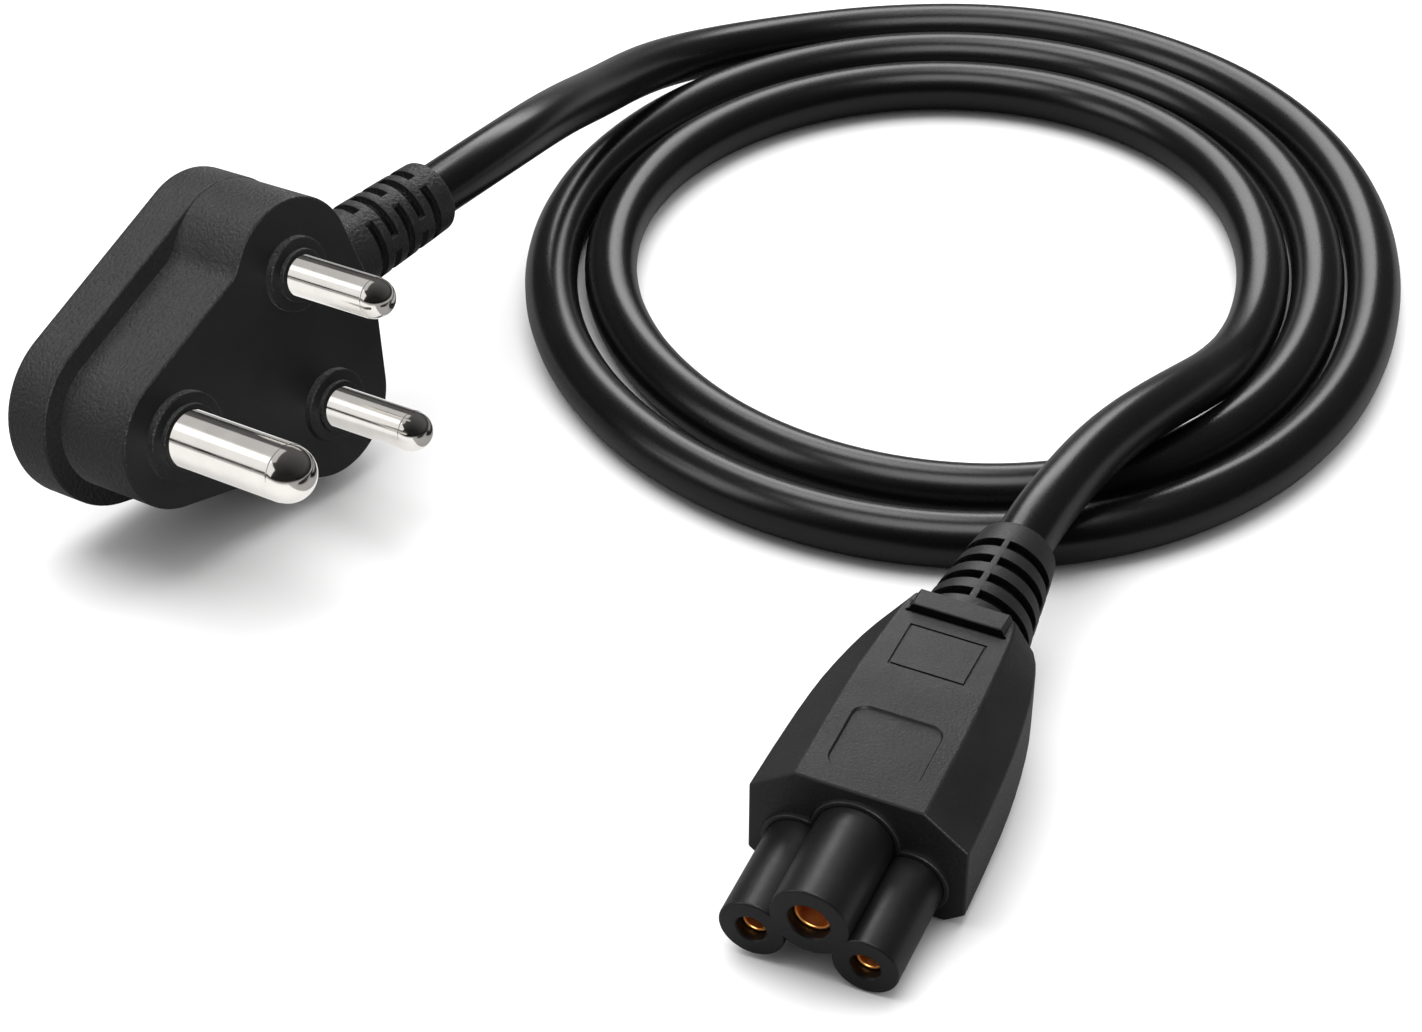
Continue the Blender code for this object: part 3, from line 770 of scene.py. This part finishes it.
    def shell(self) -> BMesh:
        """Eight-sided body that narrows toward the cord."""
        bm = bmesh.new()
        rings = [self.ring(bm, section) for section in self.sections]
        for near, far in zip(rings, rings[1:]):
            bmesh.ops.bridge_loops(bm, edges=near + far)
        for end in (rings[0], rings[-1]):
            bmesh.ops.contextual_create(bm, geom=end)
        bmesh.ops.recalc_face_normals(bm, faces=bm.faces)
        along = [e for e in bm.edges if abs(e.verts[0].co.y - e.verts[1].co.y) > MERGE]
        front = [e for e in bm.edges if all(abs(v.co.y) < MERGE for v in e.verts)]
        round_edges(bm, along + front, self.edge, 3)
        return bm

    def top_detail(self) -> list[tuple[Cut, BMesh]]:
        """Recessed square, plain engraved frame, and thumb ledge with the groove before it."""
        square = recess(*self.square, self.square_corner, self.square_depth, self.square_lip)
        frame = engraved_frame(*self.frame, self.frame_line, 2 * self.frame_depth)
        groove = prism(rounded_outline(*self.groove, self.groove_corner), 0.0, 2 * self.groove_depth)
        foot, top = self.ledge_foot, self.ledge_top
        corners = [foot, top, Vector((-top.x, top.y)), Vector((-foot.x, foot.y))]
        ledge = prism(corners, -self.ledge_length, 0.0)
        round_edges(ledge, [e for e in ledge.edges if all(v.co.y > 0 for v in e.verts)], self.ledge_edge, 3)
        slope = Matrix.Translation((0, self.crease, self.top)) @ Matrix.Rotation(-self.back_slope, 4, "X")
        groove_place = self.ledge_place - self.groove[1] / 2
        return [
            (Cut.TAKE, moved(square, shift(0, self.square_place, self.top))),
            (Cut.TAKE, moved(frame, slope @ shift(0, self.frame_place, -self.frame_depth))),
            (Cut.TAKE, moved(groove, slope @ shift(0, groove_place, -self.groove_depth))),
            (Cut.ADD, moved(self.forward(ledge), slope @ shift(0, self.ledge_place))),
        ]

    def posts(self, grow: float, low: float, high: float, edge: float) -> list[BMesh]:
        """Three joined round posts that run out of the front face.

        Args:
            grow: How much wider they are than the nose.
            low: Where they start, measured out of the face.
            high: Where they end.
            edge: Rounding of their front edges.

        Returns:
            One solid for each lobe, the earth lobe's first.
        """
        made = []
        uneven = self.uneven if grow else 0.0
        for number, (_, place, lobe, _) in enumerate(self.lobes()):
            wide, base, top = lobe + grow, low - number * uneven, high + number * uneven
            corner = rounded_corner(wide, top, edge) if edge else [(wide, top)]
            post = turned([(0.0, base), (wide, base), *corner, (0.0, top)], self.sides, place)
            made.append(self.forward(post))
        return made

    def forward(self, bm: BMesh) -> BMesh:
        """Turn a solid made along +Z so that it runs out of the front face."""
        return moved(bm, Matrix.Rotation(math.pi / 2, 4, "X"))

    def body(self) -> Object:
        """The moulding, with its collar, slots and the detail of its upper side."""
        sleeve = moved(self.relief.build(), shift(0, self.relief_start))
        collar = self.posts(FIT + self.collar_wall, -SINK, self.collar_rise, self.collar_edge)
        socket = self.posts(self.nose_play, -self.nose_root - FIT, CUTTER_REACH, 0.0)
        steps = [
            (Cut.ADD, sleeve),
            *self.top_detail(),
            *((Cut.ADD, post) for post in collar),
            *((Cut.TAKE, post) for post in socket),
        ]
        return moulded("connector_moulding", self.shell(), steps)

    def lobes(self) -> tuple[tuple[str, Vector, float, float], ...]:
        """Contact's name, place, radius and hole radius of each lobe of the nose."""
        side = (self.side_lobe_radius, self.side_hole)
        return (
            ("earth_contact", self.earth_lobe, self.earth_lobe_radius, self.earth_hole),
            ("line_contact", Vector((-self.lobe_spread, self.lobe_drop)), *side),
            ("neutral_contact", Vector((self.lobe_spread, self.lobe_drop)), *side),
        )

    def nose(self) -> Object:
        """Carrier of the contacts: three lobes with blind holes."""
        first, *others = self.posts(0.0, -self.nose_root, self.nose_length, self.nose_edge)
        steps = [(Cut.ADD, post) for post in others]
        low, mouth = self.nose_length - self.hole_depth, self.nose_length
        high = mouth + CUTTER_REACH
        for _, place, _, radius in self.lobes():
            wide = radius + self.hole_lip
            wall = [(radius, low), (radius, mouth - self.hole_lip), (wide, mouth), (wide, high)]
            cutter = turned([(0, low), *wall, (0, high)], self.hole_sides, place)
            steps.append((Cut.TAKE, self.forward(cutter)))
        return moulded("connector_nose_plastic", first, steps)

    def contact(self, name: str, place: Vector, radius: float) -> Object:
        """Metal sleeve inside a hole, with a rounded mouth."""
        outer = radius - self.contact_play
        inner = outer - self.contact_wall
        high = self.nose_length - self.contact_setback
        low = high - self.contact_length
        lip = self.contact_wall / 2
        mouth = [(inner + lip - lip * math.cos(a), high - lip + lip * math.sin(a))
                 for a in angles(0.0, math.pi, self.mouth_rings)]
        profile = [(0.0, low), (0.0, low + lip), (inner, low + lip), *mouth, (outer, low), (0.0, low)]
        return as_object(name + "_sleeve", self.forward(turned(profile, self.hole_sides, place)))

    def build(self) -> list[Object]:
        """Make and dress every piece of the connector."""
        body, nose = self.body(), self.nose()
        frame_end = self.crease + self.frame_place + self.frame[1] / 2
        # Faces inside the relief's slots and on the ledge's front get painted shade, a dark colour standing
        # in for their shadow.
        for face in body.data.polygons:
            in_slot = self.relief.covers(face.center - Vector((0, self.relief_start, 0)))
            on_ledge = face.normal.y < -self.facing and face.center.y > frame_end
            face.material_index = int(in_slot or on_ledge)
        pieces = [
            settle(body, self.matrix, (self.moulding, self.painted_shade), Slot.BODY, "connector_body"),
            settle(nose, self.matrix, (self.carrier,), Slot.NOSE, "connector_nose"),
        ]
        for name, place, _, radius in self.lobes():
            sleeve = self.contact(name, place, radius)
            pieces.append(settle(sleeve, self.matrix, (self.copper,), Slot.CONTACT, name))
        return pieces


def wave(strengths: tuple[float, float], angle: float) -> float:
    """Sum of an angle's cosine and sine, each by its strength."""
    return strengths[0] * math.cos(angle) + strengths[1] * math.sin(angle)


@dataclass
class Cord:
    """Round sheathed cord from the plug's relief, through its loose turns, to the connector's.

    from_plug and to_connector are its listed points, in millimetres. The turns
    follow a formula: angles run clockwise from the far side, and every turn lies just inside the
    last. Waves make the turns oval and egg-shaped, and change the step from one to the next.
    """

    sheath: Material
    radius: float = 3.5 * MM
    length: float = 0.968
    loop_centre: tuple[float, float] = (54.2 * MM, 76.85 * MM)
    loop_radius: float = 63.1 * MM
    turn_step: float = 8.5 * MM
    loop_oval: tuple[float, float] = (4.1 * MM, 1.5 * MM)
    loop_egg: tuple[float, float] = (-0.3 * MM, 0.6 * MM)
    step_shift: tuple[float, float] = (-0.6 * MM, -0.2 * MM)
    step_oval: tuple[float, float] = (0.9 * MM, 0.7 * MM)
    loop_range: tuple[int, int] = (-5, 805)
    loop_point_angle: int = 15
    curve_steps: int = 12
    point_spacing: float = 2.0 * MM
    easing_rounds: int = 12
    straight_end: float = 5.0 * MM
    bevel_steps: int = 10
    from_plug: tuple[tuple[float, float, float], ...] = (
        (-3.7, 74.35, 24.3), (1.3, 87.95, 20.6), (6.3, 102.95, 15.2), (12.5, 118.35, 10.4),
        (21.3, 131.35, 6.0), (34.1, 139.55, 3.8),
    )
    to_connector: tuple[tuple[float, float, float], ...] = (
        (95.5, 72.35, 3.5), (92.5, 60.35, 3.7), (87.3, 48.95, 5.5), (80.5, 37.75, 9.3),
        (74.1, 28.95, 11.6), (68.5, 21.15, 12.5), (63.7, 12.35, 13.3),
    )

    def loop_point(self, degrees: float) -> Vector:
        """A point of the flat turns."""
        a = math.radians(degrees)
        step = self.turn_step + wave(self.step_shift, a) + wave(self.step_oval, 2 * a)
        radius = self.loop_radius + wave(self.loop_oval, 2 * a) + wave(self.loop_egg, 3 * a)
        radius -= step * degrees / 360
        x, y = self.loop_centre
        return Vector((x + radius * math.sin(a), y + radius * math.cos(a), self.radius))

    def through(self, points: Sequence[Vector]) -> list[Vector]:
        """A smooth curve through the route's points."""
        ends = [2 * points[0] - points[1], *points, 2 * points[-1] - points[-2]]
        curve = []
        for p0, p1, p2, p3 in zip(ends, ends[1:], ends[2:], ends[3:]):
            for t in (i / self.curve_steps for i in range(self.curve_steps)):
                curve.append(0.5 * ((2 * p1) + (p2 - p0) * t + (2 * p0 - 5 * p1 + 4 * p2 - p3) * t * t
                                    + (3 * p1 - 3 * p2 + p3 - p0) * t ** 3))
        return [*curve, points[-1]]

    def spaced(self, curve: Sequence[Vector]) -> list[Vector]:
        """Points at equal distances along a curve, ends kept."""
        lengths = [0.0]
        for a, b in zip(curve, curve[1:]):
            lengths.append(lengths[-1] + (b - a).length)
        count = round(lengths[-1] / self.point_spacing)
        points, k = [], 0
        for i in range(count):
            target = lengths[-1] * i / count
            while lengths[k + 1] < target:
                k += 1
            share = (target - lengths[k]) / (lengths[k + 1] - lengths[k])
            points.append(curve[k].lerp(curve[k + 1], share))
        return [*points, curve[-1]]

    def eased(self, points: list[Vector]) -> list[Vector]:
        """The same points with their small changes of bend evened out, clear of the floor."""
        for _ in range(self.easing_rounds):
            middles = [(a + 2 * b + c) / 4 for a, b, c in zip(points, points[1:], points[2:])]
            points = [points[0], *middles, points[-1]]
        return [Vector((p.x, p.y, max(p.z, self.radius))) for p in points]

    def route(self, plug: Plug, connector: Connector) -> list[Vector]:
        """Centre line of the whole cord."""
        leave = [plug.cord_exit(gap) for gap in (FIT, self.straight_end)]
        arrive = [connector.cord_exit(gap) for gap in (self.straight_end, FIT)]
        start, end = self.loop_range
        turns = [self.loop_point(a) for a in range(start, end + 1, self.loop_point_angle)]
        down, up = ([Vector(p) * MM for p in points] for points in (self.from_plug, self.to_connector))
        return self.eased(self.spaced(self.through([*leave, *down, *turns, *up, *arrive])))

    def build(self, plug: Plug, connector: Connector, pieces: Sequence[Object]) -> Object:
        """Args:
            plug: The end that it leaves.
            connector: The end that it goes to.
            pieces: The connector's pieces; not used.

        Returns:
            The cord.
        """
        points = self.route(plug, connector)
        curve = bpy.data.curves.new("cord_sheath", "CURVE")
        curve.dimensions = "3D"
        curve.bevel_depth = self.radius
        curve.bevel_resolution = self.bevel_steps
        curve.use_fill_caps = True
        curve.materials.append(self.sheath)
        spline = curve.splines.new("POLY")
        spline.points.add(len(points) - 1)
        for target, point in zip(spline.points, points):
            target.co = (*point, 1.0)
        spline.use_smooth = True
        obj = bpy.data.objects.new("cord_sheath", curve)
        bpy.context.scene.collection.objects.link(obj)
        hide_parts("cord")
        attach(obj, ROOT)
        LOG.info("%s has %d points", obj.name, len(points))
        return obj


@dataclass
class Studio:
    """White floor, soft light from above and behind, and the photograph's camera.

    target is the floor point at the middle of the picture. The surroundings light the lead with
    ambient strength and show in its gloss with mirrored strength; front_share of that is left on
    the camera's side, and nothing comes from below. The floor doesn't light the lead, it only
    shows in its gloss, with mirrored_floor of its brightness. horizon and front_to_back are the
    parts of a direction, up and away from the camera, over which the surroundings change.
    """

    target: Vector = in_mm(21.9, 24.35, 0.0)
    distance: float = 442.29 * MM
    pitch: float = math.radians(36)
    focal_pixels: float = 3600.0
    image_width: float = 1422.0
    sensor_width: float = 36.0
    ambient: float = 1.5
    mirrored: float = 0.1
    front_share: float = 0.15
    horizon: tuple[float, float] = (0.0, 0.3)
    front_to_back: tuple[float, float] = (-0.8, 0.6)
    sun: float = 2.6
    sun_spread: float = math.radians(60)
    floor_tone: float = 0.9
    mirrored_floor: float = 0.3
    floor_size: float = 6.0
    floor_drop: float = 0.05 * MM

    def camera(self) -> None:
        """Place the camera."""
        data = bpy.data.cameras.new("camera")
        data.sensor_width = self.sensor_width
        data.lens = self.focal_pixels * self.sensor_width / self.image_width
        data.clip_start, data.clip_end = 0.01, 20.0
        obj = bpy.data.objects.new("camera", data)
        back = Vector((0, -math.cos(self.pitch), math.sin(self.pitch)))
        obj.location = self.target + back * self.distance
        obj.rotation_euler = (math.pi / 2 - self.pitch, 0, 0)
        bpy.context.scene.collection.objects.link(obj)
        bpy.context.scene.camera = obj

    def floor(self) -> None:
        """Lay the floor."""
        material, tree, shader = new_material("white_floor")
        rays = tree.nodes.new("ShaderNodeLightPath")
        tones = (self.floor_tone, self.floor_tone * self.mirrored_floor)
        tone = spread(tree, rays.outputs["Is Glossy Ray"], 0.0, 1.0, *tones)
        feed(tree, shader, {"Base Color": tone, "Roughness": 0.9, "Specular IOR Level": 0.1})
        bm = bmesh.new()
        bmesh.ops.create_grid(bm, x_segments=1, y_segments=1, size=self.floor_size)
        floor = as_object("floor", moved(bm, shift(0, 0, -self.floor_drop)))
        floor.data.materials.append(material)
        floor.visible_diffuse = False

    def light(self, name: str, kind: str, direction: Vector, energy: float,
              **settings: float | str) -> Object:
        """Add a light that shines toward the middle of the lead.

        Args:
            name: The light's name.
            kind: Blender's light type.
            direction: Where it stands, seen from the target, in metres.
            energy: Its strength, as Blender states it for that type.
            settings: Further properties of the light.

        Returns:
            The light.
        """
        data = bpy.data.lights.new(name, kind)
        data.energy = energy
        for key, value in settings.items():
            setattr(data, key, value)
        obj = bpy.data.objects.new(name, data)
        obj.location = self.target + direction
        obj.rotation_mode = "QUATERNION"
        obj.rotation_quaternion = direction.to_track_quat("Z", "Y")
        bpy.context.scene.collection.objects.link(obj)
        return obj

    def card(self, name: str, direction: Vector, energy: float, width: float, height: float,
             pieces: Sequence[Object]) -> Object:
        """Add a soft box that shows only as a reflection, and only in some pieces.

        Args:
            name: The card's name.
            direction: Where it stands, seen from the target, in metres.
            energy: Its power in watts.
            width: Size across.
            height: Size up and down.
            pieces: What it shows in.

        Returns:
            The card.
        """
        card = self.light(name, "AREA", direction, energy, shape="RECTANGLE", size=width, size_y=height)
        card.visible_diffuse = False
        card.visible_camera = False
        shown_in = bpy.data.collections.new(name + "_pieces")
        for piece in pieces:
            shown_in.objects.link(piece)
        card.light_linking.receiver_collection = shown_in
        return card

    def cards(self, mouldings: Sequence[Object], plastics: Sequence[Object],
              pins: Sequence[Object], contacts: Sequence[Object]) -> None:
        """Add the soft boxes, each for the pieces that show it.

        mouldings are the plug's and the connector's bodies, and plastics the cord and the nose. The
        plug's body is kept out of reflections, or its pins would mirror its black face.
        """
        mouldings[0].visible_glossy = False
        black = [*mouldings, *plastics]
        self.card("back_card", Vector((0.04, 0.33, 0.19)), 0.37, 0.2, 0.12, black)
        self.card("high_card", Vector((-0.01, 0.23, 0.33)), 0.35, 0.12, 0.16, black)
        self.card("top_card", Vector((0.0, -0.07, 0.4)), 0.8, 0.3, 0.2, plastics)
        self.card("left_card", Vector((-0.5, -0.1, 0.35)), 0.9, 0.3, 0.3, black)
        self.card("wall_card", Vector((-0.37, 0.28, 0.44)), 0.9, 0.2, 0.2, mouldings[:1])
        self.card("edge_card", Vector((0.15, -0.7, 0.45)), 4.5, 0.1, 0.1, mouldings)
        self.card("pin_card", Vector((-0.6, 0.0, 0.25)), 0.75, 0.7, 0.36, pins)
        self.card("pin_top_card", Vector((-0.42, 0.3, 0.5)), 0.45, 0.7, 0.4, pins)
        under = self.card("pin_floor_card", Vector((-0.15, -0.06, 0.001)), 0.13, 0.24, 0.24, pins)
        under.rotation_quaternion = (0.0, 1.0, 0.0, 0.0)
        self.card("contact_card", Vector((-0.1, -0.42, 0.34)), 3.2, 0.25, 0.2, contacts)

    def lights(self) -> None:
        """Set the lights and the surroundings."""
        world = bpy.data.worlds.new("surroundings")
        world.use_nodes = True
        tree = world.node_tree
        coords = tree.nodes.new("ShaderNodeTexCoord")
        axes = feed(tree, tree.nodes.new("ShaderNodeSeparateXYZ"), {"Vector": coords.outputs["Generated"]})
        rays = tree.nodes.new("ShaderNodeLightPath")
        strength = spread(tree, rays.outputs["Is Glossy Ray"], 0.0, 1.0, self.ambient, self.mirrored)
        above = spread(tree, axes.outputs["Z"], *self.horizon, 0.0, 1.0)
        behind = spread(tree, axes.outputs["Y"], *self.front_to_back, self.front_share, 1.0)
        for factor in (above, behind):
            product = tree.nodes.new("ShaderNodeMath")
            product.operation = "MULTIPLY"
            tree.links.new(strength, product.inputs[0])
            tree.links.new(factor, product.inputs[1])
            strength = product.outputs["Value"]
        feed(tree, tree.nodes["Background"], {"Color": (1.0, 1.0, 1.0, 1.0), "Strength": strength})
        bpy.context.scene.world = world
        key = self.light("overhead", "SUN", Vector((-0.12, 0.2, 0.95)), self.sun, angle=self.sun_spread)
        key.visible_glossy = False
        bpy.context.scene.view_settings.view_transform = "Standard"

    def build(self) -> None:
        """Set up everything round the lead."""
        self.floor()
        self.lights()
        self.camera()


def main() -> None:
    """Load the frame, build the lead on it and report each piece."""
    logging.basicConfig(level=logging.INFO, format="%(message)s")
    for obj in list(bpy.data.objects):
        bpy.data.objects.remove(obj)
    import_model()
    studio = Studio()
    studio.build()

    # Painted shade: a near-black, nearly glossless PVC put where shadow falls, inside the slots and on the
    # ledge's front.
    painted_shade = Pvc("painted_shade_pvc", dark=(0.003, 0.003, 0.003), light=(0.004, 0.004, 0.004), gloss=0.1).build()
    plug = Plug(
        moulding=Pvc("grained_pvc").build(),
        face=Pvc("satin_face", grain=0.3 * MM, grain_depth=0.006 * MM).build(),
        painted_shade=painted_shade,
        nickel=Plate("nickel_plate", (0.82, 0.79, 0.75), 0.09, 0.15).build(),
    )
    nose_plastic = Pvc("hard_plastic", dark=(0.006, 0.006, 0.0065), light=(0.008, 0.008, 0.0085),
                       smooth=0.36, dull=0.44, grain_depth=0.003 * MM)
    connector = Connector(
        moulding=Pvc("brushed_pvc", grain=0.3 * MM, grain_depth=0.04 * MM).build(),
        painted_shade=painted_shade,
        carrier=nose_plastic.build(),
        copper=Plate("contact_copper", (0.95, 0.42, 0.12), 0.3, 0.4).build(),
    )
    sheath_pvc = Pvc("cord_sheath_pvc", dark=(0.0025, 0.0025, 0.0027), light=(0.0035, 0.0035, 0.0037),
                     smooth=0.27, dull=0.31, grain=0.25 * MM, grain_depth=0.003 * MM, swell=9 * MM,
                     swell_depth=0.03 * MM)
    cord = Cord(sheath_pvc.build())
    plug_body, *pins = plug.build()
    connector_body, nose, *contacts = ends = connector.build()
    sheath = cord.build(plug, connector, ends)
    studio.cards((plug_body, connector_body), (sheath, nose), pins, contacts)


if __name__ == "__main__":
    main()
